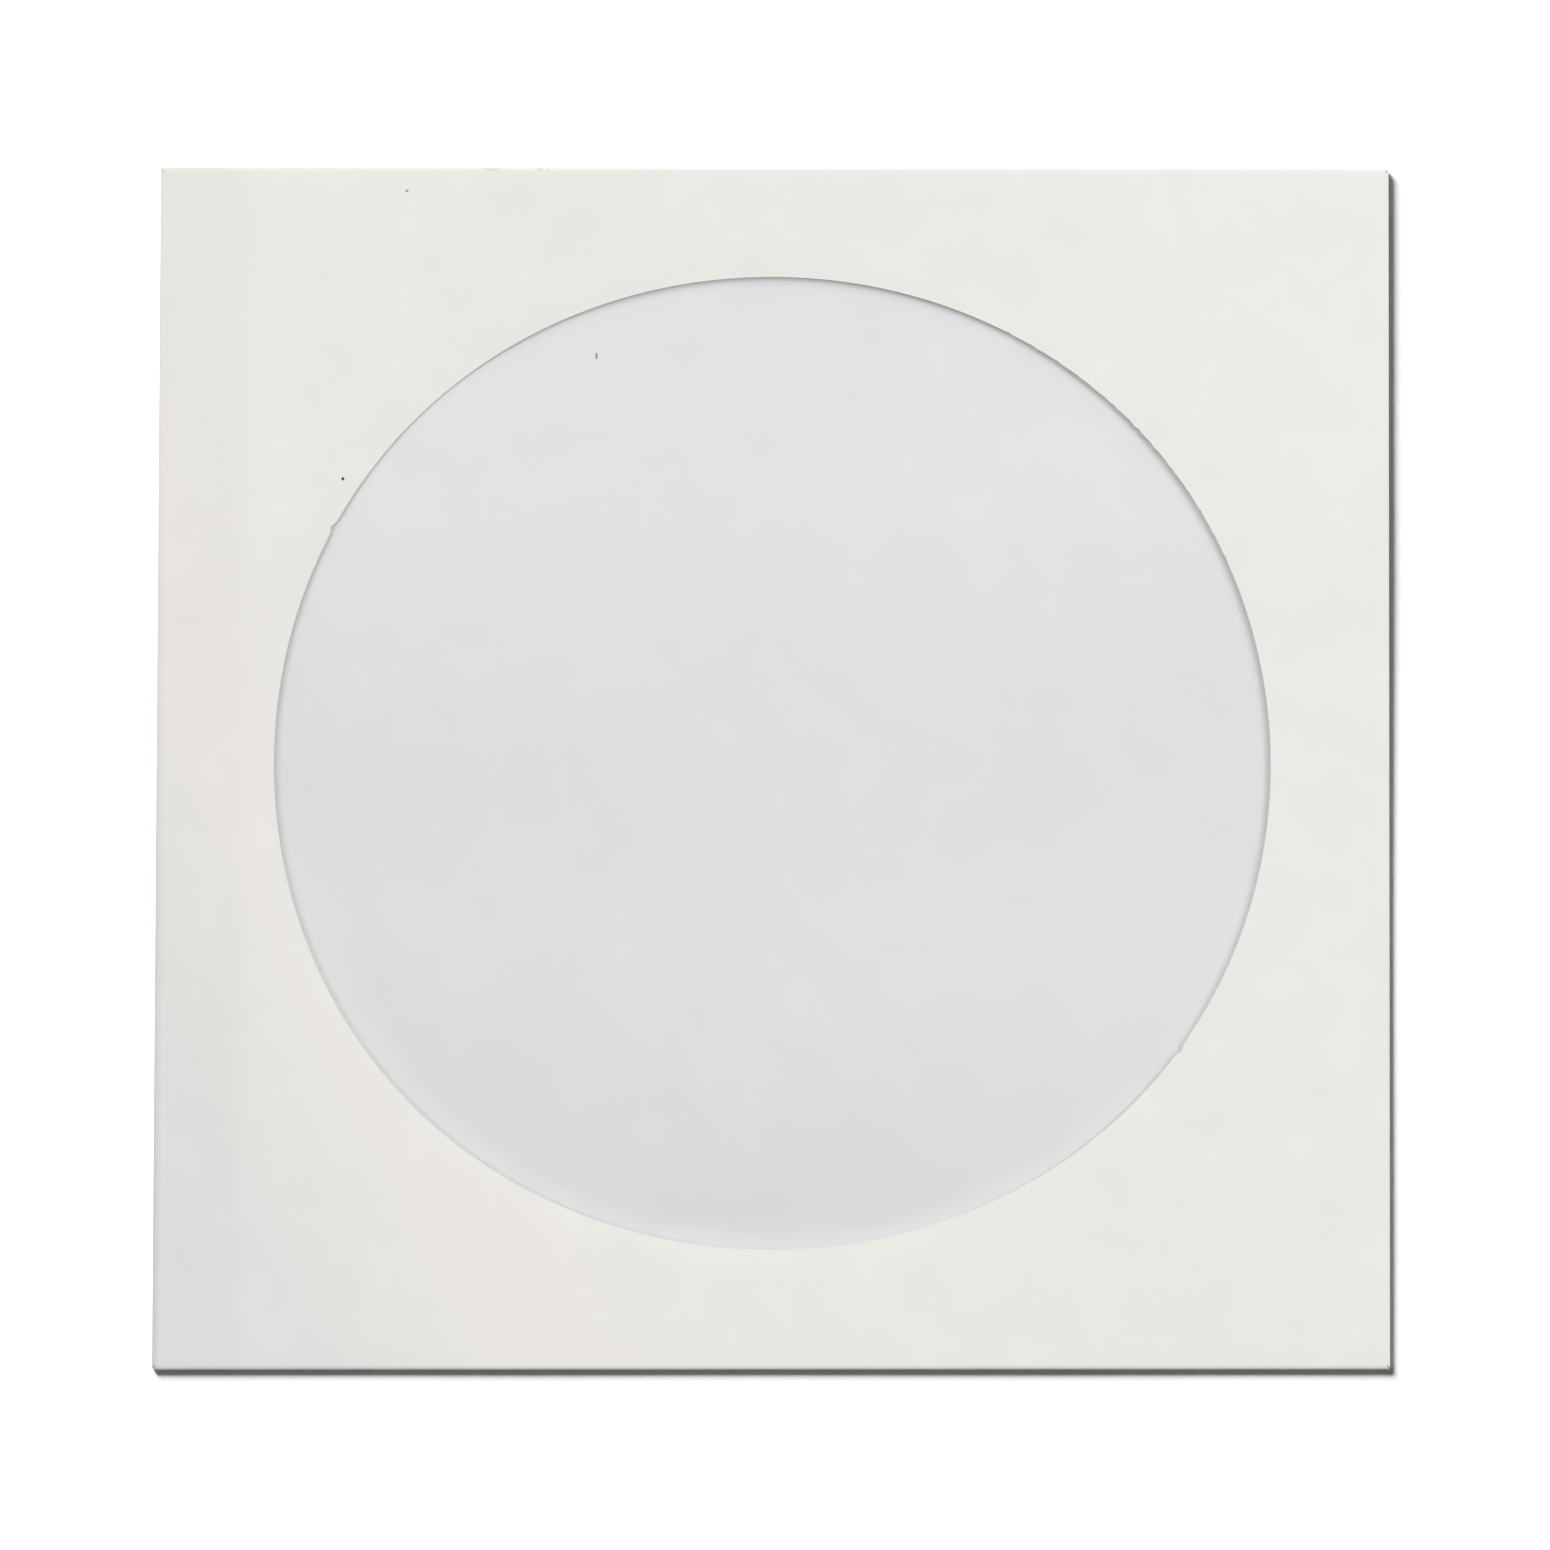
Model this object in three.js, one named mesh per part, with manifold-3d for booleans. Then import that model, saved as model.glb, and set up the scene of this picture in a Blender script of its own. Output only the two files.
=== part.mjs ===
import * as THREE from "three";
import { mergeVertices } from "three/addons/utils/BufferGeometryUtils.js";
import Module from "manifold-3d";

// A paper sleeve for one 120 mm disc, with a round window, lying on its back on a table.
// The paper is one die-cut blank: front panel, two side flaps, back panel and closure flap.
// A patch of clear film is gummed inside, behind the window.
// Millimetres. X runs across the sleeve, +Y towards its mouth and +Z up from the table.
// The origin is on the table, under the middle of the sleeve.

// Driving dimensions
const discDiameter = 120;
const sideEase = 2.5;
const endEase = 2.5;
const windowInset = 9.2;
const windowRise = 0.5;
const paperThickness = 0.12;
const filmThickness = 0.03;
const pocketAir = 0.29;

// Flaps and panels of the blank
const sideFlapWidth = 8.8;
const sideFlapSetback = 0.6;
const sideFlapTaper = 4;
const backInset = 1;
const mouthSetback = 3;
const mouthCornerRadius = 3;
const closureDepth = 38;
const closureRootInset = 0.6;
const closureTaper = 6;
const closureCornerRadius = 7;
const closureAir = 0.1;
const settleLength = 14;

// Gum and film patch
const gumWidth = 5;
const gumEdgeGap = 1.5;
const gumEndGap = 3;
const gumThickness = 0.04;
const gumSoak = 0.03;
const filmGumThickness = 0.02;
const filmBorderAcross = 2.8;
const filmBorderAlong = 4;

// How finely the curves are divided. An arc gets twice its number
const stripSteps = 50;
const foldSegments = 5;
const windowSegments = 72;
const cornerSegments = 5;
const mergeDistance = 1e-5;

// Sizes in plan
const sleeveWidth = discDiameter + 2 * sideEase;
const sleeveHeight = discDiameter + 2 * endEase;
const windowRadius = discDiameter / 2 - windowInset;
const halfWidth = sleeveWidth / 2;
const topEdge = sleeveHeight / 2;
const bottomEdge = -sleeveHeight / 2;

// Heights of the layers, before the closure flap lifts them
const backTop = paperThickness;
const sideFlapBottom = backTop + gumThickness;
const sideFlapTop = sideFlapBottom + paperThickness;
const filmBottom = sideFlapTop + pocketAir;
const filmTop = filmBottom + filmThickness;
const frontBottom = filmTop + filmGumThickness;
const frontTop = frontBottom + paperThickness;

// The closure flap lies under the back panel and lifts all that is above it
const closureLift = paperThickness + closureAir;
const closureEdge = topEdge - closureDepth;

// Outer radius of each fold: half the height of the layers that it joins
const topFoldRadius = (closureLift + frontTop) / 2;
const bottomFoldRadius = frontTop / 2;
const sideFoldRadius = (frontTop - sideFlapBottom) / 2;

// Where the flat panels end and the folds begin
const panelTop = topEdge - topFoldRadius;
const panelBottom = bottomEdge + bottomFoldRadius;
const panelSide = halfWidth - sideFoldRadius;

// Cutters reach well past the whole thickness
const cutterHeight = 4 * (closureLift + frontTop);

const wasm = await Module();
wasm.setup();

// Turns a closed geometry into a solid that can be joined and cut
function toSolid(geometry) {
  geometry.deleteAttribute("normal");
  geometry.deleteAttribute("uv");
  const merged = mergeVertices(geometry, mergeDistance);
  const vertProperties = new Float32Array(merged.attributes.position.array);
  const triVerts = new Uint32Array(merged.index.array);
  return new wasm.Manifold(new wasm.Mesh({ numProp: 3, vertProperties, triVerts }));
}

function toGeometry(solid) {
  const mesh = solid.getMesh();
  const geometry = new THREE.BufferGeometry();
  geometry.setAttribute("position", new THREE.BufferAttribute(mesh.vertProperties, 3));
  geometry.setIndex(new THREE.BufferAttribute(mesh.triVerts, 1));
  geometry.computeVertexNormals();
  return geometry;
}

// Height by which the closure flap lifts the layers at y: none near the bottom fold,
// then an easy slope up to the flap's edge, and the full height over the flap
function liftAt(y) {
  return closureLift * THREE.MathUtils.smoothstep(y, closureEdge - settleLength, closureEdge);
}

// A cross-section in X and Z, run along the flat panels from the bottom fold to the top fold
function strip(section) {
  const depth = panelTop - panelBottom;
  const geometry = new THREE.ExtrudeGeometry(section, { depth, steps: stripSteps, bevelEnabled: false });
  geometry.rotateX(Math.PI / 2);
  geometry.translate(0, panelTop, 0);
  const position = geometry.attributes.position;
  for (let i = 0; i < position.count; i += 1) {
    position.setZ(i, position.getZ(i) + liftAt(position.getY(i)));
  }
  return toSolid(geometry);
}

// A plan outline in X and Y as a tall cutter that trims a strip as a die would
function dieCut(outline) {
  const options = { depth: cutterHeight, curveSegments: cornerSegments, bevelEnabled: false };
  const geometry = new THREE.ExtrudeGeometry(outline, options);
  geometry.translate(0, 0, -cutterHeight / 2);
  return toSolid(geometry);
}

function rectangle(left, right, low, high) {
  const shape = new THREE.Shape();
  shape.moveTo(left, low);
  shape.lineTo(right, low);
  shape.lineTo(right, high);
  shape.lineTo(left, high);
  shape.closePath();
  return shape;
}

// The half ring that a sheet makes in a fold, opening to the left
function foldSection(radius) {
  const shape = new THREE.Shape();
  shape.absarc(0, 0, radius, -Math.PI / 2, Math.PI / 2, false);
  shape.absarc(0, 0, radius - paperThickness, Math.PI / 2, -Math.PI / 2, true);
  shape.closePath();
  return shape;
}

// A fold along X, bulging towards +Y, with its axis at y and its underside on the table
function foldAcross(radius, width) {
  const options = { depth: width, curveSegments: foldSegments, bevelEnabled: false };
  const geometry = new THREE.ExtrudeGeometry(foldSection(radius), options);
  geometry.rotateX(Math.PI / 2);
  geometry.rotateZ(Math.PI / 2);
  geometry.translate(-width / 2, 0, radius);
  return geometry;
}

// Front panel with its round window
function frontPanel() {
  const panel = strip(rectangle(-panelSide, panelSide, frontBottom, frontTop));
  const window = new THREE.Shape();
  window.absarc(0, windowRise, windowRadius, 0, 2 * Math.PI, false);
  const options = { depth: cutterHeight, curveSegments: windowSegments, bevelEnabled: false };
  return panel.subtract(toSolid(new THREE.ExtrudeGeometry(window, options)));
}

// Side fold and side flap, folded in behind the front panel. side is 1 on the right and -1 on the left
function sideFlap(side) {
  const foldHeight = sideFlapBottom + sideFoldRadius;
  const innerEdge = halfWidth - sideFlapWidth;
  const section = new THREE.Shape();
  const outer = new THREE.Path().absarc(0, 0, sideFoldRadius, -Math.PI / 2, Math.PI / 2, false);
  const inner = new THREE.Path().absarc(0, 0, sideFoldRadius - paperThickness, Math.PI / 2, -Math.PI / 2, true);
  const foldPoints = [...outer.getPoints(foldSegments), ...inner.getPoints(foldSegments)];
  section.moveTo(side * innerEdge, sideFlapBottom);
  for (const point of foldPoints) {
    section.lineTo(side * (panelSide + point.x), foldHeight + point.y);
  }
  section.lineTo(side * innerEdge, sideFlapTop);
  section.closePath();

  const rootTop = topEdge - sideFlapSetback;
  const rootBottom = bottomEdge + sideFlapSetback;
  const outline = new THREE.Shape();
  outline.moveTo(side * sleeveWidth, rootBottom);
  outline.lineTo(side * sleeveWidth, rootTop);
  outline.lineTo(side * panelSide, rootTop);
  outline.lineTo(side * innerEdge, rootTop - sideFlapTaper);
  outline.lineTo(side * innerEdge, rootBottom + sideFlapTaper);
  outline.lineTo(side * panelSide, rootBottom);
  outline.closePath();
  return strip(section).intersect(dieCut(outline));
}

// Line of gum that holds a side flap to the inside of the back panel
function gumLine(side) {
  const outerX = halfWidth - sideFlapWidth + gumEdgeGap + gumWidth;
  const innerX = halfWidth - sideFlapWidth + gumEdgeGap;
  const left = Math.min(side * outerX, side * innerX);
  const right = Math.max(side * outerX, side * innerX);
  const line = strip(rectangle(left, right, backTop - gumSoak, sideFlapBottom + gumSoak));
  const low = bottomEdge + sideFlapSetback + sideFlapTaper + gumEndGap;
  const high = topEdge - Math.max(sideFlapSetback + sideFlapTaper, mouthSetback) - gumEndGap;
  return line.intersect(dieCut(rectangle(left, right, low, high)));
}

// Back panel, folded up behind from the bottom, with rounded corners at the mouth
function backPanel() {
  const halfBack = halfWidth - backInset;
  const panel = strip(rectangle(-halfBack, halfBack, 0, backTop));
  const mouth = topEdge - mouthSetback;
  const radius = mouthCornerRadius;
  const outline = new THREE.Shape();
  outline.moveTo(-halfBack, bottomEdge);
  outline.lineTo(halfBack, bottomEdge);
  outline.absarc(halfBack - radius, mouth - radius, radius, 0, Math.PI / 2, false);
  outline.absarc(-halfBack + radius, mouth - radius, radius, Math.PI / 2, Math.PI, false);
  outline.closePath();
  return panel.intersect(dieCut(outline));
}

function bottomFold() {
  const fold = foldAcross(bottomFoldRadius, sleeveWidth - 2 * backInset);
  fold.rotateZ(Math.PI);
  fold.translate(0, panelBottom, 0);
  return toSolid(fold);
}

function topFold() {
  const fold = foldAcross(topFoldRadius, sleeveWidth - 2 * closureRootInset);
  fold.translate(0, panelTop, 0);
  return toSolid(fold);
}

// Closure flap, folded behind the back panel, tapered to a free edge with rounded corners
function closureFlap() {
  const rootHalf = halfWidth - closureRootInset;
  const edgeHalf = rootHalf - closureTaper;
  const slope = Math.atan2(closureTaper, panelTop - closureEdge);
  const cornerReach = closureCornerRadius * Math.tan((Math.PI / 2 - slope) / 2);
  const centreX = edgeHalf - cornerReach;
  const centreY = closureEdge + closureCornerRadius;
  const outline = new THREE.Shape();
  outline.moveTo(rootHalf, panelTop);
  outline.lineTo(-rootHalf, panelTop);
  outline.absarc(-centreX, centreY, closureCornerRadius, Math.PI + slope, 1.5 * Math.PI, false);
  outline.absarc(centreX, centreY, closureCornerRadius, 1.5 * Math.PI, 2 * Math.PI - slope, false);
  outline.closePath();
  const options = { depth: paperThickness, curveSegments: cornerSegments, bevelEnabled: false };
  return toSolid(new THREE.ExtrudeGeometry(outline, options));
}

// The whole blank as folded and gummed
function paperSleeve() {
  const pieces = [sideFlap(1), sideFlap(-1), bottomFold(), backPanel(), gumLine(1), gumLine(-1)];
  let paper = frontPanel();
  for (const piece of pieces) {
    paper = paper.add(piece);
  }
  return paper.add(topFold()).add(closureFlap());
}

// Clear film patch behind the window, a gum line's thickness under the front panel
function windowFilm() {
  const halfFilm = windowRadius + filmBorderAcross;
  const reach = windowRadius + filmBorderAlong;
  const film = strip(rectangle(-halfFilm, halfFilm, filmBottom, filmTop));
  const outline = rectangle(-halfFilm, halfFilm, windowRise - reach, windowRise + reach);
  return film.intersect(dieCut(outline));
}

const paperMaterial = new THREE.MeshStandardMaterial({ color: "#edece7", roughness: 0.85, metalness: 0 });
const filmMaterial = new THREE.MeshStandardMaterial({
  color: "#eef0f0",
  roughness: 0.12,
  metalness: 0,
  transparent: true,
  opacity: 0.25,
});

function namedMesh(name, solid, material) {
  const mesh = new THREE.Mesh(toGeometry(solid), material);
  mesh.name = name;
  return mesh;
}

const sleeve = new THREE.Group();
sleeve.name = "cd_sleeve";
sleeve.add(namedMesh("paper_sleeve", paperSleeve(), paperMaterial));
sleeve.add(namedMesh("window_film", windowFilm(), filmMaterial));

export default sleeve;
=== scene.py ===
import math

import bpy
from mathutils import Matrix, Vector, noise


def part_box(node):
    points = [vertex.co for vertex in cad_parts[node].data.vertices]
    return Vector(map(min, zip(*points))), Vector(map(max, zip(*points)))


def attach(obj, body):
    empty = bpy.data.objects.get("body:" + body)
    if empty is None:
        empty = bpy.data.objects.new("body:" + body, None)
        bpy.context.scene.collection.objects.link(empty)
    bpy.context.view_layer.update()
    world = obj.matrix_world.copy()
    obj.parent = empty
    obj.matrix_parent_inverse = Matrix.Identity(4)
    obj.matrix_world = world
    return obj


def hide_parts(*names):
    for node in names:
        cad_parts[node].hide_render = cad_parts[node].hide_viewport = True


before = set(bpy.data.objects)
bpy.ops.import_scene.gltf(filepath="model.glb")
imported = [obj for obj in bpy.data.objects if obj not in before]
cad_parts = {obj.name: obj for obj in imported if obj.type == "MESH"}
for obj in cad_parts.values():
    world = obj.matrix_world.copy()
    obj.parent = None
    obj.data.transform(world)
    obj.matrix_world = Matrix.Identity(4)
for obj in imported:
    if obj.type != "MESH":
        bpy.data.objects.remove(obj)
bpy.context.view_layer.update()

# The camera stands where the photograph was taken from: almost straight above, a little towards
# the near side, and far away behind a long lens, so that the sleeve stays nearly square. Lengths
# are written in millimetres, and times MM they are Blender's metres.
MM = 0.001
photo_pixels = 1550
sensor_width = 36.0
focal_pixels = 33085
camera_azimuth = math.radians(-2.74)
camera_elevation = math.radians(76.66)
camera_roll = math.radians(-2.637)
camera_distance = 3.349
camera_target = Vector((0.22 * MM, -0.78 * MM, 0.0))

look = Vector((
    math.sin(camera_azimuth) * math.cos(camera_elevation),
    math.cos(camera_azimuth) * math.cos(camera_elevation),
    -math.sin(camera_elevation),
))
level_right = Vector((math.cos(camera_azimuth), -math.sin(camera_azimuth), 0.0))
level_up = level_right.cross(look)
camera_right = level_right * math.cos(camera_roll) + level_up * math.sin(camera_roll)
camera_up = level_up * math.cos(camera_roll) - level_right * math.sin(camera_roll)

bpy.ops.object.camera_add()
camera = bpy.context.object
camera.name = "photo_camera"
camera.data.sensor_width = sensor_width
camera.data.lens = focal_pixels / photo_pixels * sensor_width
camera.data.clip_end = 20.0
turn = Matrix((camera_right, camera_up, -look)).transposed()
camera.matrix_world = Matrix.Translation(camera_target - look * camera_distance) @ turn.to_4x4()
bpy.context.scene.camera = camera

# The sleeve is one die-cut blank of white uncoated paper, 100 grams per square metre, folded and
# gummed at its side seams. The front panel is drawn as rings from the window's rim out to its
# edges. Each fold is then spun and each flap drawn out from the panel's edges, as it is folded.
paper_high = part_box("paper_sleeve")[1]
film_low, film_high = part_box("window_film")
paper_thickness = 0.12
film_thickness = 0.03
window_radius = 50.8
window_rise = 0.5
side_flap_bottom = 0.16
side_flap_width = 8.8
side_flap_taper = 4.0
back_half = 61.5
mouth_setback = 3.0
mouth_corner = 3.0
closure_depth = 38.0
closure_root_half = 61.9
closure_taper = 6.0
closure_corner = 7.0
closure_air = 0.1

# The layers settle over a longer stretch below the closure flap than the 14 mm of the CAD, because
# on a short one the film would mirror a dark band
settle_length = 40.0

# The outermost spokes stand this close to a corner, so that each fold runs almost its whole length
corner_setback = 0.06

# The sheet is drawn at the middle of its thickness, and gets its thickness at the end
half_width = paper_high.x / MM
half_height = paper_high.y / MM
half_paper = paper_thickness / 2
lift = paper_thickness + closure_air
front_top = paper_high.z / MM - lift
front_height = front_top - half_paper
film_height = film_low.z / MM + film_thickness / 2
side_radius = (front_top - side_flap_bottom) / 2 - half_paper
bottom_radius = front_top / 2 - half_paper
top_radius = (front_top + lift) / 2 - half_paper
panel_side = half_width - side_radius - half_paper
panel_top = half_height - top_radius - half_paper
panel_bottom = bottom_radius + half_paper - half_height
closure_edge = half_height - closure_depth

# Detail of the mesh: spokes along each edge of the panel, rings from rim to edge and how closely
# they crowd towards the rim, and rows in a flap
edge_spokes = 180
rings = 24
ring_crowding = 1.4
fold_steps = 8
side_flap_rows = 5
back_rows = 44
corner_rows = 6
closure_rows = 16

# How far from a line still counts as on it, and how far past a fold's line as on the fold
near_tolerance = 0.02
fold_tolerance = 0.001


def start_edit(piece):
    bpy.ops.object.select_all(action="DESELECT")
    piece.select_set(True)
    bpy.context.view_layer.objects.active = piece
    bpy.ops.object.mode_set(mode="EDIT")
    bpy.ops.mesh.select_mode(type="EDGE")


def select_edges(piece, wanted):
    """In edit mode, selects the edges whose two ends, in millimetres, both pass the test."""
    bpy.ops.mesh.select_all(action="DESELECT")
    bpy.ops.object.mode_set(mode="OBJECT")
    points = [vertex.co / MM for vertex in piece.data.vertices]
    for edge in piece.data.edges:
        edge.select = all(wanted(points[end]) for end in edge.vertices)
    bpy.ops.object.mode_set(mode="EDIT")


def draw_out(rows, distance, growth=(1.0, 1.0, 1.0)):
    """Draws the selected edges out over a distance in even rows, each row scaled by growth."""
    step = Vector(distance) * MM / rows
    for _ in range(rows):
        bpy.ops.mesh.extrude_edges_move(TRANSFORM_OT_translate={"value": step})
        if growth != (1.0, 1.0, 1.0):
            bpy.ops.transform.resize(value=growth, center_override=(0.0, 0.0, 0.0))


def near(value, wanted):
    return abs(value - wanted) < near_tolerance


bpy.ops.object.select_all(action="DESELECT")
bpy.ops.mesh.primitive_circle_add(
    vertices=4 * edge_spokes,
    radius=window_radius * MM,
    location=(0.0, 0.0, front_height * MM),
)
paper = bpy.context.object
paper.name = "paper_sheet"
bpy.ops.object.transform_apply(location=True, rotation=True, scale=True)

# The rings are first extruded as circles, one millimetre apart
start_edit(paper)
bpy.ops.mesh.select_all(action="SELECT")
for ring in range(rings):
    growth = (window_radius + ring + 1) / (window_radius + ring)
    bpy.ops.mesh.extrude_edges_move()
    bpy.ops.transform.resize(value=(growth, growth, 1.0), center_override=(0.0, 0.0, 0.0))
bpy.ops.object.mode_set(mode="OBJECT")

# Then each spoke is laid from the rim to its point on the panel's outline. The spokes are
# numbered from the lower right corner, anticlockwise, and the rings close up towards the rim.
corners = [
    Vector((panel_side, panel_bottom)),
    Vector((panel_side, panel_top)),
    Vector((-panel_side, panel_top)),
    Vector((-panel_side, panel_bottom)),
]
rim_squareness = 0.2
rim_flat = 0.3
rim_flat_angle = math.radians(37.0)
rim_flat_sharpness = 4

# The torn fibres and the nicks are placed in degrees round the rim
rough_start = 24.0
rough_end = 62.0
rough_depth = 0.16
rough_pitch = 0.6
rough_seed = 2.0
nick_angles = (-36.0, 151.5)
nick_depth = 0.3
nick_width = 0.45


def rim_radius(angle):
    """The die-cut rim is a slightly square circle, flatter at the upper right, with a stretch of
    torn fibres and two nicks."""
    degrees = math.degrees(angle)
    radius = window_radius - rim_squareness * math.cos(4 * angle)
    radius -= rim_flat * max(math.cos(angle - rim_flat_angle), 0.0) ** rim_flat_sharpness
    if rough_start < degrees < rough_end:
        radius += rough_depth * noise.noise(Vector((degrees / rough_pitch, 0.0, rough_seed)))
    for nick in nick_angles:
        radius += nick_depth * math.exp(-(((degrees - nick) / nick_width) ** 2))
    return radius


for vertex in paper.data.vertices:
    angle = math.atan2(vertex.co.y, vertex.co.x)
    ring = round(vertex.co.xy.length / MM - window_radius)
    spoke = round((angle + math.pi / 4) / (2 * math.pi) * 4 * edge_spokes) % (4 * edge_spokes)
    side, step = divmod(spoke, edge_spokes)
    start, end = corners[side], corners[(side + 1) % 4]
    share = step / edge_spokes
    if step == 1:
        share = corner_setback / (end - start).length
    if step == edge_spokes - 1:
        share = 1.0 - corner_setback / (end - start).length
    outer = start.lerp(end, share)
    rim = Vector((math.cos(angle), math.sin(angle))) * rim_radius(angle)
    rim += Vector((0.0, window_rise))
    place = rim.lerp(outer, (ring / rings) ** ring_crowding)
    vertex.co.xy = place * MM

# Side folds and side flaps, folded in behind the panel
start_edit(paper)
inner_edge = half_width - side_flap_width
flap_narrowing = 1.0 - side_flap_taper / (half_height * side_flap_rows)
for side in (1, -1):
    fold_line = side * panel_side
    select_edges(paper, lambda p: near(p.x, fold_line) and near(p.z, front_height)
                 and panel_bottom + near_tolerance < p.y < panel_top - near_tolerance)
    centre = Vector((fold_line, 0.0, front_height - side_radius)) * MM
    bpy.ops.mesh.spin(steps=fold_steps, angle=-math.pi, center=centre, axis=(0.0, side, 0.0))
    select_edges(paper, lambda p: near(p.x, fold_line) and near(p.z, front_height - 2 * side_radius))
    draw_out(
        side_flap_rows,
        (side * (inner_edge - panel_side), 0.0, 0.0),
        growth=(1.0, flap_narrowing, 1.0),
    )


def pressed(share):
    """A place on a round fold, from its middle line to its furthest point, once pressed sharper."""
    return math.copysign(math.sqrt(abs(share)), share)


# Bottom fold and back panel, folded up behind
select_edges(paper, lambda p: near(p.y, panel_bottom) and near(p.z, front_height)
             and abs(p.x) < panel_side - near_tolerance)
centre = Vector((0.0, panel_bottom, front_height - bottom_radius)) * MM
bpy.ops.mesh.spin(steps=fold_steps, angle=-math.pi, center=centre, axis=(1.0, 0.0, 0.0))
select_edges(paper, lambda p: near(p.y, panel_bottom) and near(p.z, half_paper))
mouth = half_height - mouth_setback
draw_out(back_rows, (0.0, mouth - mouth_corner - panel_bottom, 0.0))
draw_out(corner_rows, (0.0, mouth_corner, 0.0))
bpy.ops.object.mode_set(mode="OBJECT")


def lift_at(y):
    """Height in millimetres by which the closure flap lifts the layers at y."""
    share = min(max((y - closure_edge + settle_length) / settle_length, 0.0), 1.0)
    return lift * share * share * (3.0 - 2.0 * share)


def corner_cut(radius, distance):
    """How much a rounded corner takes off a side, at a distance from the end."""
    short = max(radius - distance, 0.0)
    return radius - math.sqrt(max(radius * radius - short * short, 0.0))


# The folds are pressed sharp, and their ends meet in mitres, so that the corners stay square. The
# back panel is a little narrower than the front, with rounded corners at the mouth.
panel_half = panel_side - corner_setback
side_reach = half_width - panel_side
bottom_reach = panel_bottom + half_height
top_reach = half_height - panel_top
for vertex in paper.data.vertices:
    x, y, z = vertex.co / MM
    if abs(x) > panel_side + fold_tolerance:
        middle = front_height - side_radius
        z = middle + side_radius * pressed((z - middle) / side_radius)
        beyond = side_radius * pressed((abs(x) - panel_side) / side_radius)
        vertex.co.x = math.copysign(panel_side + beyond, x) * MM
        if near(y, panel_bottom + corner_setback):
            vertex.co.y = (y - bottom_reach * beyond / side_reach) * MM
        if near(y, panel_top - corner_setback):
            vertex.co.y = (y + top_reach * beyond / side_reach) * MM
    elif y < panel_bottom - fold_tolerance:
        middle = front_height - bottom_radius
        z = middle + bottom_radius * pressed((z - middle) / bottom_radius)
        beyond = bottom_radius * pressed((panel_bottom - y) / bottom_radius)
        vertex.co.y = (panel_bottom - beyond) * MM
        if near(abs(x), panel_half):
            vertex.co.x = math.copysign(panel_half + side_reach * beyond / bottom_reach, x) * MM
    elif near(z, half_paper) and y > panel_bottom + near_tolerance:
        width = back_half - corner_cut(mouth_corner, mouth - y)
        vertex.co.x = x * width / panel_half * MM
    vertex.co.z = (z + lift_at(y)) * MM

# Top fold and closure flap, folded down behind the back panel
start_edit(paper)
select_edges(paper, lambda p: near(p.y, panel_top) and near(p.z, front_height + lift)
             and abs(p.x) < panel_side - near_tolerance)
centre = Vector((0.0, panel_top, half_paper + top_radius)) * MM
bpy.ops.mesh.spin(steps=fold_steps, angle=-math.pi, center=centre, axis=(-1.0, 0.0, 0.0))
select_edges(paper, lambda p: near(p.y, panel_top) and near(p.z, half_paper))
draw_out(closure_rows, (0.0, closure_edge + closure_corner - panel_top, 0.0))
draw_out(corner_rows, (0.0, -closure_corner, 0.0))
bpy.ops.object.mode_set(mode="OBJECT")
for vertex in paper.data.vertices:
    x, y, z = vertex.co / MM
    if y > panel_top + fold_tolerance and abs(x) < panel_side:
        middle = half_paper + top_radius
        beyond = top_radius * pressed((y - panel_top) / top_radius)
        vertex.co.y = (panel_top + beyond) * MM
        vertex.co.z = (middle + top_radius * pressed((z - middle) / top_radius)) * MM
        if near(abs(x), panel_half):
            vertex.co.x = math.copysign(panel_half + side_reach * beyond / top_reach, x) * MM
    elif near(z, half_paper) and y > closure_edge - near_tolerance:
        width = closure_root_half - closure_taper * (panel_top - y) / (panel_top - closure_edge)
        width -= corner_cut(closure_corner, y - closure_edge)
        vertex.co.x = x * width / panel_half * MM


# Paper never lies quite flat. The front panel sags a little between its stiff folds, rolls down to
# them, dips towards the window's rim, is pinched at its upper left and waves slightly. What lies
# under it gives less, and the back panel nothing.
sag_depth = 0.1
wave_height = 0.07
wave_length = 26.0
wave_seed = 4.2
rim_dip = 0.1
rim_dip_width = 1.5
film_dip_width = 14.0
rim_dip_towards = math.radians(225.0)
pinch_depth = 0.27
pinch_width = 9.0
pinch_angle = math.radians(132.0)
pinch_spread = math.radians(20.0)
edge_roll = 0.06
edge_roll_width = 0.9


def give_at(x, y):
    """How far the front panel sinks, in millimetres, at a place on the sleeve."""
    sag = sag_depth * (1.0 - (x / half_width) ** 2) * (1.0 - (y / half_height) ** 2)
    swell = noise.noise(Vector((x / wave_length, y / wave_length, wave_seed)))
    wave = wave_height * (1.0 + swell) / 2
    angle = math.atan2(y - window_rise, x)
    beyond_rim = math.hypot(x, y - window_rise) - window_radius
    uneven = 1.0 + math.cos(angle - rim_dip_towards)
    dip = rim_dip * uneven * math.exp(-max(beyond_rim, 0.0) / rim_dip_width)
    if beyond_rim < 0.0:
        dip = rim_dip + (dip - rim_dip) * math.exp(beyond_rim / film_dip_width)
    turned = ((angle - pinch_angle) / pinch_spread) ** 2
    pinch = pinch_depth * math.exp(-turned - abs(beyond_rim) / pinch_width)
    side_roll = math.exp((abs(x) - half_width) / edge_roll_width)
    end_roll = math.exp((abs(y) - half_height) / edge_roll_width)
    return sag + wave + dip + pinch + edge_roll * min(side_roll + end_roll, 1.0)


# The sleeve wasn't folded quite square either: it is a little narrower, and its right side shorter
narrowing = 0.0017
right_shortening = 0.001


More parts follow.
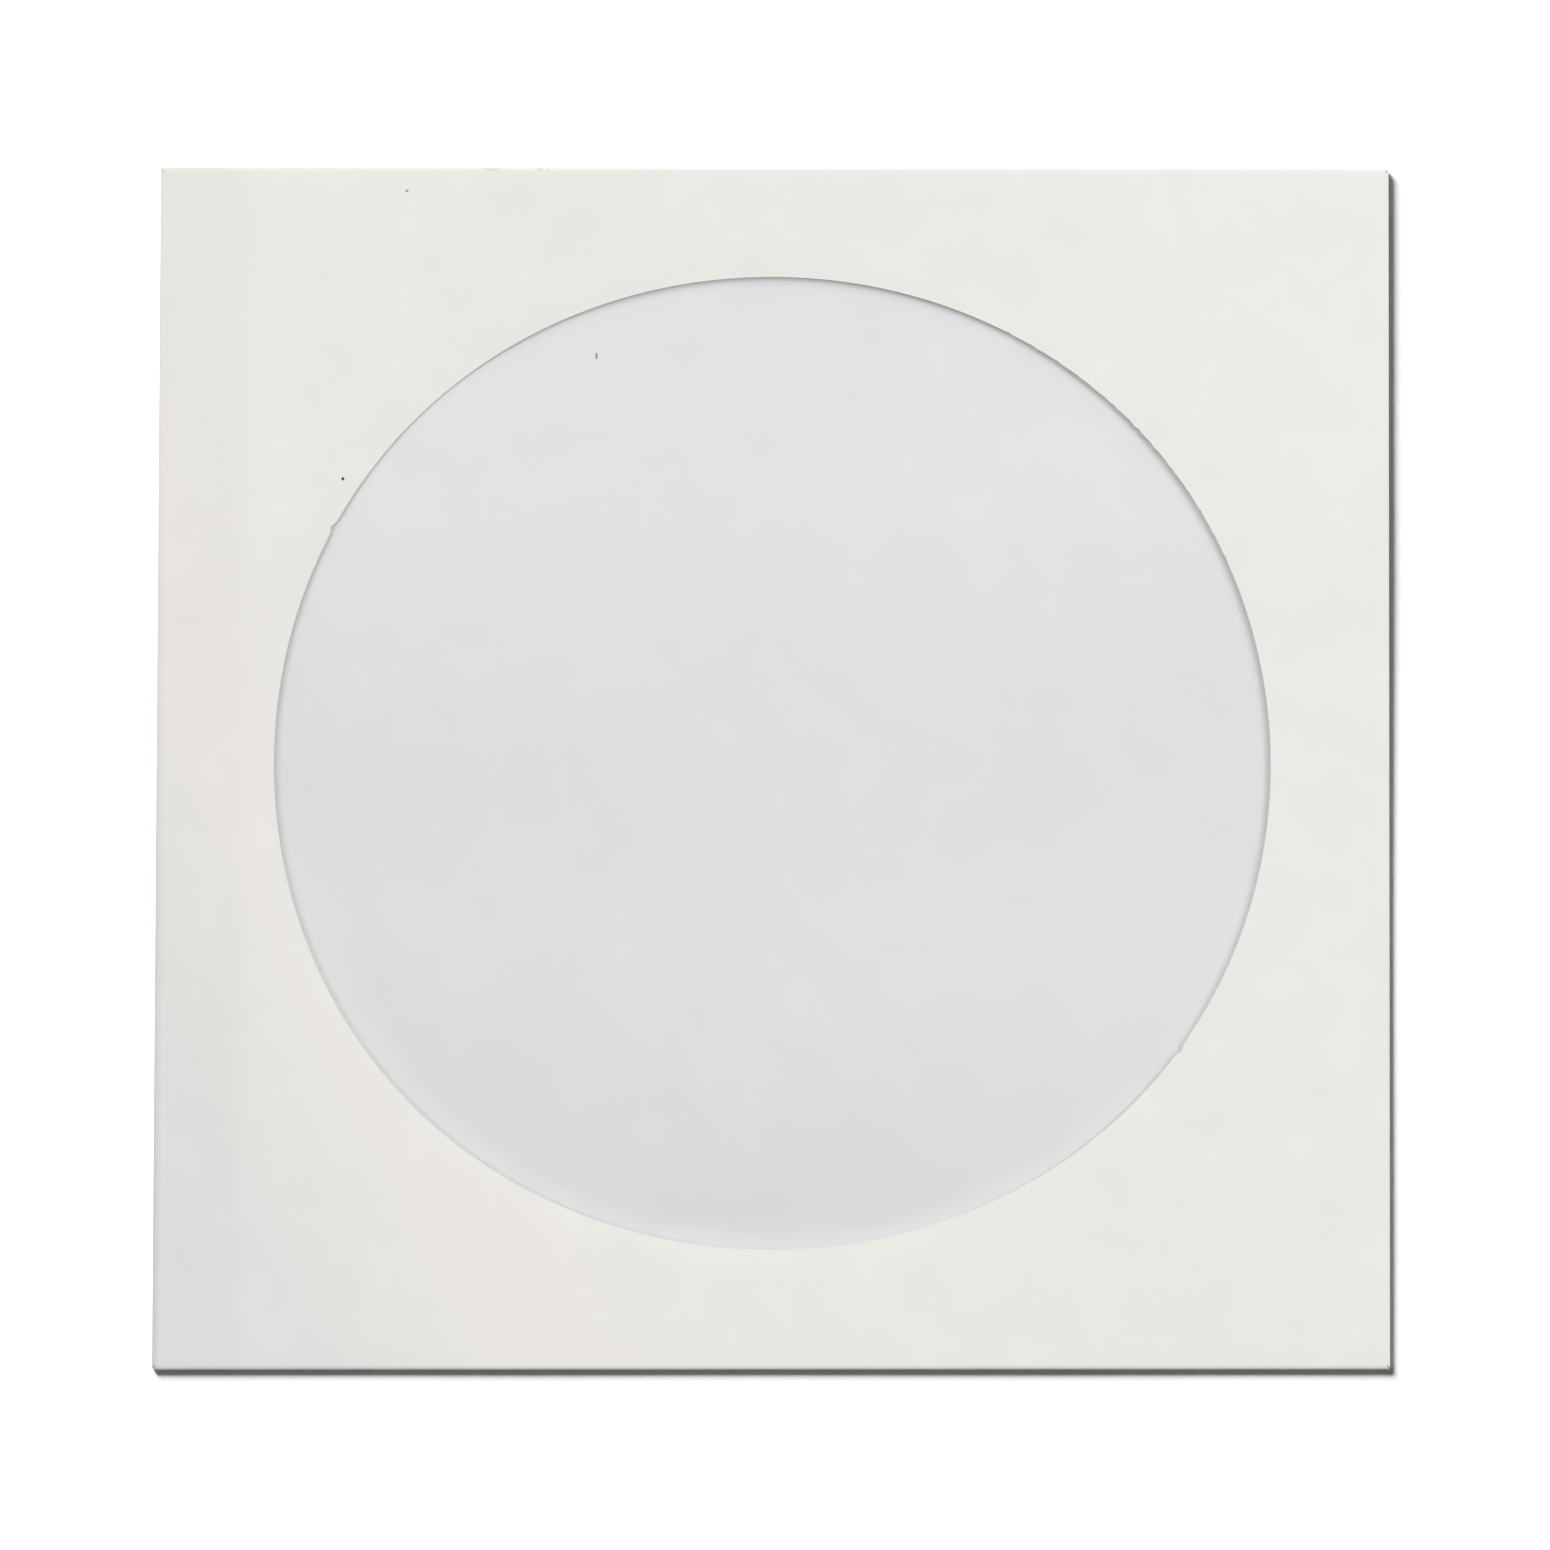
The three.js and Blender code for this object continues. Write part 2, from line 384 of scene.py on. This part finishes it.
def lay_softly(piece):
    """Sinks a drawn sheet by its height in the stack, and brings it a little out of square."""
    for vertex in piece.data.vertices:
        x, y, z = vertex.co / MM
        share = (z - half_paper - lift_at(y)) / (film_height - half_paper)
        vertex.co.z -= give_at(x, y) * min(max(share, 0.0), 1.0) * MM
        vertex.co.x *= 1.0 - narrowing
        vertex.co.y *= 1.0 - right_shortening * (1.0 + x / half_width)


merge_distance = 0.002
smooth_angle = math.radians(40.0)


def add_thickness(piece, thickness):
    """Turns a drawn sheet into a closed one of its real thickness, half of it on each side."""
    start_edit(piece)
    bpy.ops.mesh.select_all(action="SELECT")
    bpy.ops.mesh.remove_doubles(threshold=merge_distance * MM)
    bpy.ops.mesh.normals_make_consistent(inside=False)
    bpy.ops.object.mode_set(mode="OBJECT")
    bpy.ops.object.modifier_add(type="SOLIDIFY")
    solidify = piece.modifiers[-1]
    solidify.thickness = thickness * MM
    solidify.offset = 0.0
    solidify.use_even_offset = True
    bpy.ops.object.modifier_apply(modifier=solidify.name)
    bpy.ops.object.shade_smooth_by_angle(angle=smooth_angle)


lay_softly(paper)
add_thickness(paper, paper_thickness)


def srgb(code):
    """A colour written as a hex code, as the linear value that a shader takes."""
    channels = [int(code[i:i + 2], 16) / 255 for i in (1, 3, 5)]
    linear = [c / 12.92 if c <= 0.04045 else ((c + 0.055) / 1.055) ** 2.4 for c in channels]
    return (*linear, 1.0)


def new_material(name):
    material = bpy.data.materials.new(name)
    material.use_nodes = True
    material.node_tree.nodes.clear()
    return material


def add_node(tree, kind, values=None, links=None, **settings):
    """Adds a node, with its settings, the values of its inputs and what is linked into them."""
    node = tree.nodes.new(kind)
    for name, value in settings.items():
        setattr(node, name, value)
    for name, value in (values or {}).items():
        node.inputs[name].default_value = value
    for name, socket in (links or {}).items():
        tree.links.new(socket, node.inputs[name])
    return node


# Uncoated wood-free paper: matt, white, with a faint cloudiness where the fibres settled unevenly,
# and a fine felt of fibres, drawn coarser than it is so that it shows. Over the left flap the paper
# is painted darker in a band, a painted shade, and over the closure flap a little lighter, painted
# light given back by the flap behind. The sheet has yellowed a little on the lower left. Its lower
# left corner and the lower end of the left fold are painted grey, a painted shade where less light
# falls.
paper_white = "#EDEEE9"
paper_yellowed = "#F2EFEA"
# Painted shade: the grey of the lower left corner, and the darker grey of the left fold
paper_painted_shade = "#E9E9E7"
fold_painted_shade = "#D3D3D1"
cloud_size = 6.0
cloud_contrast = 0.035
fibre_size = 0.35
fibre_height = 0.02
# The painted band over each flap blurs over this width: painted shade over the left flap, painted
# light over the closure flap
flap_band_blur = 1.0
side_flap_shade_level = 0.972
closure_flap_light_level = 1.01

# The yellowing and the painted shade grow towards the lower left, along this direction from the
# middle of the sleeve. Only the front panel has yellowed, and none of the layers that it covers.
# The painted shade lies on every layer.
ageing_and_shade_direction = (-0.9, -0.45, 0.0)
covered_below = 0.4
exposed_above = 0.6
yellow_from = -30.0
yellow_full = 45.0
# Painted shade on the lower left: it starts at the first distance along that direction and is full
# at the second
painted_shade_from = 53.0
painted_shade_full = 69.0

# The left fold is painted darker, a painted shade where it turns away from the light, from the
# first distance in to its edge, where the second is full. Along the fold the painted shade starts
# at its top value and grows to its bottom one.
fold_shade_width = 0.9
fold_shade_edge = 0.1
fold_shade_top = 45.0
fold_shade_bottom = -60.0
paper_material = new_material("uncoated_white_paper")
tree = paper_material.node_tree
place = add_node(tree, "ShaderNodeTexCoord").outputs["Object"]
axes = add_node(tree, "ShaderNodeSeparateXYZ", links={"Vector": place}).outputs
cloud = add_node(tree, "ShaderNodeTexNoise",
                 values={"Scale": 1 / (cloud_size * MM), "Detail": 4.0},
                 links={"Vector": place}).outputs["Fac"]
cloud_shade = add_node(tree, "ShaderNodeMapRange",
                       values={"To Min": 1.0 - cloud_contrast, "To Max": 1.0 + cloud_contrast},
                       links={"Value": cloud}).outputs["Result"]
fibre = add_node(tree, "ShaderNodeTexNoise",
                 values={"Scale": 1 / (fibre_size * MM), "Detail": 2.0},
                 links={"Vector": place}).outputs["Fac"]
lower_left = add_node(tree, "ShaderNodeVectorMath", operation="DOT_PRODUCT",
                      values={1: ageing_and_shade_direction}, links={0: place}).outputs["Value"]
exposed = add_node(tree, "ShaderNodeMapRange",
                   values={"From Min": covered_below * MM, "From Max": exposed_above * MM},
                   links={"Value": axes["Z"]}).outputs["Result"]
yellowing = add_node(tree, "ShaderNodeMapRange",
                     values={"From Min": yellow_from * MM, "From Max": yellow_full * MM},
                     links={"Value": lower_left, "To Max": exposed}).outputs["Result"]
aged = add_node(tree, "ShaderNodeMix", data_type="RGBA",
                values={"A": srgb(paper_white), "B": srgb(paper_yellowed)},
                links={"Factor": yellowing}).outputs["Result"]
# Painted shade towards the lower left corner, on every layer
lower_left_painted_shade = add_node(tree, "ShaderNodeMapRange",
                   values={"From Min": painted_shade_from * MM, "From Max": painted_shade_full * MM},
                   links={"Value": lower_left}).outputs["Result"]
aged = add_node(tree, "ShaderNodeMix", data_type="RGBA", values={"B": srgb(paper_painted_shade)},
                links={"Factor": lower_left_painted_shade, "A": aged}).outputs["Result"]
# Painted shade on the lower end of the left fold
on_fold = add_node(tree, "ShaderNodeMapRange",
                   values={"From Min": (fold_shade_width - half_width) * MM,
                           "From Max": (fold_shade_edge - half_width) * MM},
                   links={"Value": axes["X"]}).outputs["Result"]
low_down = add_node(tree, "ShaderNodeMapRange",
                    values={"From Min": fold_shade_top * MM, "From Max": fold_shade_bottom * MM},
                    links={"Value": axes["Y"]}).outputs["Result"]
fold_shade_mask = add_node(tree, "ShaderNodeMath", operation="MULTIPLY",
                  links={0: on_fold, 1: low_down}).outputs[0]
aged = add_node(tree, "ShaderNodeMix", data_type="RGBA", values={"B": srgb(fold_painted_shade)},
                links={"Factor": fold_shade_mask, "A": aged}).outputs["Result"]
# Painted shade over the left flap, and painted light over the closure flap
flap_shade = add_node(tree, "ShaderNodeMapRange",
                      values={"From Min": (-inner_edge - flap_band_blur) * MM,
                              "From Max": (-inner_edge + flap_band_blur) * MM,
                              "To Min": side_flap_shade_level, "To Max": 1.0},
                      links={"Value": axes["X"]}).outputs["Result"]
closure_painted_light = add_node(tree, "ShaderNodeMapRange",
                         values={"From Min": (closure_edge - flap_band_blur) * MM,
                                 "From Max": (closure_edge + flap_band_blur) * MM,
                                 "To Min": 1.0, "To Max": closure_flap_light_level},
                         links={"Value": axes["Y"]}).outputs["Result"]
shaded = aged
for shade in (cloud_shade, flap_shade, closure_painted_light):
    shaded = add_node(tree, "ShaderNodeVectorMath", operation="SCALE",
                      links={0: shaded, "Scale": shade}).outputs["Vector"]

# Small marks of use: a black fleck near the rim, a grey speck, a short scratch on the back panel
# inside the window, and three scuffs on the top fold. Each has a centre and radii in millimetres,
# and the share of the paper's brightness that it leaves. It fades out about its radii.
mark_core = 0.8
mark_end = 1.2
paper_top = paper_high.z / MM
back_face = paper_thickness + lift
marks = [
    ((-43.7, 29.9, paper_top), (0.16, 0.2, 0.5), 0.02),
    ((-37.36, 60.0, paper_top), (0.16, 0.14, 0.5), 0.4),
    ((-18.03, 42.84, back_face), (0.1, 0.38, 0.3), 0.15),
    ((-28.8, half_height, paper_top), (0.9, 0.4, 0.6), 0.86),
    ((-23.9, half_height, paper_top), (0.4, 0.4, 0.6), 0.86),
    ((-23.0, half_height, paper_top), (0.25, 0.4, 0.6), 0.9),
]
for centre, radii, left in marks:
    offset = add_node(tree, "ShaderNodeVectorMath", operation="SUBTRACT",
                      values={1: Vector(centre) * MM}, links={0: place}).outputs["Vector"]
    scaled = add_node(tree, "ShaderNodeVectorMath", operation="DIVIDE",
                      values={1: Vector(radii) * MM}, links={0: offset}).outputs["Vector"]
    away = add_node(tree, "ShaderNodeVectorMath", operation="LENGTH",
                    links={0: scaled}).outputs["Value"]
    kept = add_node(tree, "ShaderNodeMapRange",
                    values={"From Min": mark_core, "From Max": mark_end, "To Min": left},
                    links={"Value": away}).outputs["Result"]
    shaded = add_node(tree, "ShaderNodeVectorMath", operation="SCALE",
                      links={0: shaded, "Scale": kept}).outputs["Vector"]
bump = add_node(tree, "ShaderNodeBump",
                values={"Strength": 0.25, "Distance": fibre_height * MM},
                links={"Height": fibre}).outputs["Normal"]
surface = add_node(tree, "ShaderNodeBsdfPrincipled",
                   values={"Roughness": 0.9, "Specular IOR Level": 0.25},
                   links={"Base Color": shaded, "Normal": bump}).outputs["BSDF"]
add_node(tree, "ShaderNodeOutputMaterial", links={"Surface": surface})
paper.data.materials.append(paper_material)
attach(paper, "root")
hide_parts("paper_sleeve")

# The window is a patch of clear polypropylene film, cut square and gummed by its border to the
# inside of the front panel. It follows the panel. The film is glossy with a faint haze: it mirrors
# little straight on, as its index of refraction has it, and all at a grazing angle.
film_cells = 60
film_clear = "#FAFAFB"
film_gloss = "#FFFFFF"
gloss_straight_on = 0.038
grazing_power = 5.0

# The grid is two metres wide, so its scale is half of the film's size
bpy.ops.object.select_all(action="DESELECT")
bpy.ops.mesh.primitive_grid_add(x_subdivisions=film_cells, y_subdivisions=film_cells, size=2.0)
film = bpy.context.object
film.name = "film_patch"
film.scale = (film_high.x, (film_high.y - film_low.y) / 2, 1.0)
film.location = (0.0, (film_high.y + film_low.y) / 2, film_height * MM)
bpy.ops.object.transform_apply(location=True, rotation=True, scale=True)
for vertex in film.data.vertices:
    vertex.co.z += lift_at(vertex.co.y / MM) * MM
lay_softly(film)
add_thickness(film, film_thickness)

film_material = new_material("clear_polypropylene_film")
tree = film_material.node_tree
clear = add_node(tree, "ShaderNodeBsdfTransparent",
                 values={"Color": srgb(film_clear)}).outputs["BSDF"]
gloss = add_node(tree, "ShaderNodeBsdfGlossy",
                 values={"Color": srgb(film_gloss), "Roughness": 0.12}).outputs["BSDF"]
facing = add_node(tree, "ShaderNodeLayerWeight", values={"Blend": 0.5}).outputs["Facing"]
grazing = add_node(tree, "ShaderNodeMath", operation="POWER", values={1: grazing_power},
                   links={0: facing}).outputs[0]
mirrored = add_node(tree, "ShaderNodeMapRange", values={"To Min": gloss_straight_on, "To Max": 1.0},
                    links={"Value": grazing}).outputs["Result"]
mixed = add_node(tree, "ShaderNodeMixShader",
                 links={0: mirrored, 1: clear, 2: gloss}).outputs["Shader"]
add_node(tree, "ShaderNodeOutputMaterial", links={"Surface": mixed})
film.data.materials.append(film_material)
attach(film, "root")
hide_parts("window_film")

# A white table under the sleeve, plain white all round it in the picture. Its own lamp, high on the
# far left, lights nothing but the table, and gives the thin shadow on the near and right sides.
table_size = 4.0
table_gap = 0.01
table_white = "#F4F4F4"

# Seen by the camera, the table is brighter than white, so that it burns out as in the photograph
table_seen = 1.17
bpy.ops.object.select_all(action="DESELECT")
bpy.ops.mesh.primitive_plane_add(size=table_size, location=(0.0, 0.0, -table_gap * MM))
table = bpy.context.object
table.name = "table"
table_material = new_material("white_table_top")
tree = table_material.node_tree


def any_seen(tree):
    """One for a ray that sees the surface, straight, mirrored or through something clear."""
    path = add_node(tree, "ShaderNodeLightPath").outputs
    seen = add_node(tree, "ShaderNodeMath", operation="MAXIMUM",
                    links={0: path["Is Camera Ray"], 1: path["Is Glossy Ray"]}).outputs[0]
    return add_node(tree, "ShaderNodeMath", operation="MAXIMUM",
                    links={0: seen, 1: path["Is Transmission Ray"]}).outputs[0]


tint = add_node(tree, "ShaderNodeMix", data_type="RGBA",
                values={"A": srgb(table_white), "B": (table_seen, table_seen, table_seen, 1.0)},
                links={"Factor": any_seen(tree)}).outputs["Result"]
surface = add_node(tree, "ShaderNodeBsdfDiffuse", links={"Color": tint}).outputs["BSDF"]
add_node(tree, "ShaderNodeOutputMaterial", links={"Surface": surface})
table.data.materials.append(table_material)


def light_only(lamp, name, pieces):
    """Lets a lamp light no more than the pieces given, which share a collection of that name."""
    group = bpy.data.collections.new(name)
    for piece in pieces:
        group.objects.link(piece)
    lamp.light_linking.receiver_collection = group


def add_lamp(kind, name, place, **settings):
    """Adds a lamp that shines from its place at the middle of the sleeve."""
    bpy.ops.object.light_add(type=kind, location=place)
    lamp = bpy.context.object
    lamp.name = name
    lamp.rotation_euler = Vector(place).to_track_quat("Z", "Y").to_euler()
    for setting, value in settings.items():
        setattr(lamp.data, setting, value)
    return lamp


table_lamp_place = (-0.93, 1.2, 0.93)
table_lamp = add_lamp("SUN", "table_lamp", table_lamp_place, energy=4.8, angle=math.radians(25.0))
light_only(table_lamp, "table_top", [table])

# The sleeve is lit by a wide softbox overhead, beyond its far side, and one on either side. The
# overhead one faces straight down.
overhead_place = (0.0, 4.2, 2.4)
right_place = (0.63, -0.02, 0.5)
left_place = (-2.0, -0.65, 1.3)
overhead_lamp = add_lamp("AREA", "overhead_softbox", overhead_place, energy=330.0,
                         shape="RECTANGLE", size=10.0, size_y=7.4)
overhead_lamp.rotation_euler = (0.0, 0.0, 0.0)
light_only(overhead_lamp, "sleeve_overhead", [paper, film])
right_lamp = add_lamp("AREA", "right_softbox", right_place, energy=2.3, shape="SQUARE", size=0.35)
light_only(right_lamp, "sleeve_right", [paper, film])
left_lamp = add_lamp("AREA", "left_softbox", left_place, energy=21.0, shape="SQUARE", size=0.9)
light_only(left_lamp, "sleeve_left", [paper, film])

# The room is white to the eye, and fills the shadows with a little light
room_light = 0.08
world = bpy.data.worlds.new("white_room")
bpy.context.scene.world = world
world.use_nodes = True
tree = world.node_tree
tree.nodes.clear()
strength = add_node(tree, "ShaderNodeMapRange", values={"To Min": room_light, "To Max": 1.0},
                    links={"Value": any_seen(tree)}).outputs["Result"]
sky = add_node(tree, "ShaderNodeBackground", links={"Strength": strength}).outputs["Background"]
add_node(tree, "ShaderNodeOutputWorld", links={"Surface": sky})

bpy.context.scene.view_settings.view_transform = "Standard"
